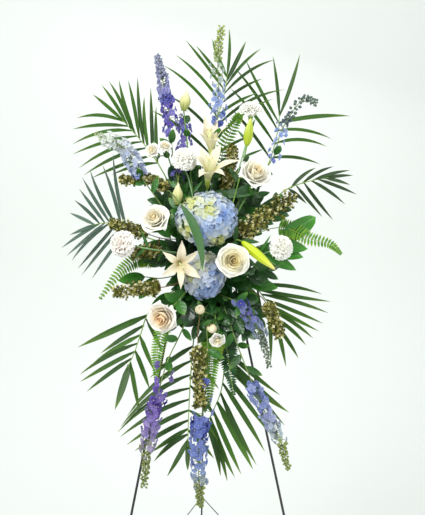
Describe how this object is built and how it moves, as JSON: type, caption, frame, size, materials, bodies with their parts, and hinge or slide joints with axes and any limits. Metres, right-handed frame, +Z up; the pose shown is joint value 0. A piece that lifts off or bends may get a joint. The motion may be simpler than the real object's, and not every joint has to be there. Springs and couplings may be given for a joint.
{
  "type": "standing funeral spray",
  "caption": "Standing funeral spray of roses, lilies, carnations, hydrangeas, delphiniums, ferns and palm fronds in a foam block hung on a folding wire easel.",
  "frame": {"origin": "on the floor below the middle of the overall box, between the three feet of the easel", "axes": "+Z up; the front of the spray faces -Y; +X to the right as seen from the front"},
  "size_m": [0.7852, 0.7646, 1.7491],
  "materials": {
    "easel_wire": "satin",
    "tray_plastic": "satin",
    "floral_foam": "matte",
    "palm_leaf": "satin",
    "palm_leaf_grey": "matte",
    "palm_leaf_dark": "satin",
    "fern_leaf": "matte",
    "fern_leaf_dark": "matte",
    "salal_leaf": "gloss",
    "filler_floret": "matte",
    "delphinium_blue": "matte",
    "delphinium_violet": "matte",
    "delphinium_deep_blue": "matte",
    "rose_petal": "matte",
    "carnation_petal": "matte",
    "lily_petal": "satin",
    "lily_bud": "satin",
    "hydrangea_floret": "matte"
  },
  "bodies": {
    "spray_and_front_legs": {"easel_left_leg": "easel_wire", "easel_right_leg": "easel_wire", "easel_bar": "easel_wire", "foam_tray": "tray_plastic", "foam_block": "floral_foam", "palm_upper_left": "palm_leaf", "palm_left": "palm_leaf_grey", "palm_lower_left": "palm_leaf", "palm_bottom_left": "palm_leaf", "palm_bottom_right": "palm_leaf", "palm_right_lower": "palm_leaf", "palm_right": "palm_leaf_dark", "palm_right_upper": "palm_leaf", "palm_top": "palm_leaf", "fern_left": "fern_leaf", "fern_right": "fern_leaf", "fern_bottom": "fern_leaf", "fern_bottom_right": "fern_leaf_dark", "fern_lower_left": "fern_leaf", "fern_top": "fern_leaf", "salal_right": "salal_leaf", "salal_left": "salal_leaf", "leaf_dark": "fern_leaf_dark", "leaf_front": "salal_leaf", "filler_right": "filler_floret", "filler_left": "filler_floret", "filler_left_low": "filler_floret", "filler_bottom": "filler_floret", "filler_right_low": "filler_floret", "filler_top": "filler_floret", "filler_upper_left": "filler_floret", "delphinium_top_left": "delphinium_violet", "delphinium_top": "delphinium_blue", "delphinium_top_right": "delphinium_blue", "delphinium_left": "delphinium_blue", "delphinium_bottom_left": "delphinium_violet", "delphinium_bottom": "delphinium_deep_blue", "delphinium_bottom_right": "delphinium_blue", "delphinium_right_low": "delphinium_deep_blue", "rose_upper_right": "rose_petal", "rose_left": "rose_petal", "rose_centre": "rose_petal", "rose_lower_left": "rose_petal", "spray_rose_bottom": "rose_petal", "spray_rose_top_left": "rose_petal", "rosebud_top_left": "rose_petal", "rosebud_centre_left": "rose_petal", "carnation_upper_left": "carnation_petal", "carnation_left": "carnation_petal", "carnation_right": "carnation_petal", "carnation_top_right": "carnation_petal", "lily_pair": "lily_petal", "lily_star": "lily_petal", "lily_bud_green": "lily_bud", "lily_bud_yellow": "lily_bud", "hydrangea_upper": "hydrangea_floret", "hydrangea_lower": "hydrangea_floret"},
    "back_leg": {"easel_back_leg": "easel_wire"},
    "spreader": {"easel_spreader_left": "easel_wire", "easel_spreader_right": "easel_wire"}
  },
  "joints": [
    {"name": "back_leg_fold", "type": "hinge", "parent": "spray_and_front_legs", "child": "back_leg", "pos_m": [-0.0088, -0.0405, 1.373], "axis": [-1, 0, 0], "range_deg": [0, 22]},
    {"name": "spreader_fold", "type": "hinge", "parent": "spray_and_front_legs", "child": "spreader", "pos_m": [-0.0088, -0.2394, 0.235], "axis": [1, 0, 0], "range_deg": [0, 55]}
  ],
  "couplings": [
    {"joint": "spreader_fold", "follows": "back_leg_fold", "ratio": 2.5}
  ]
}
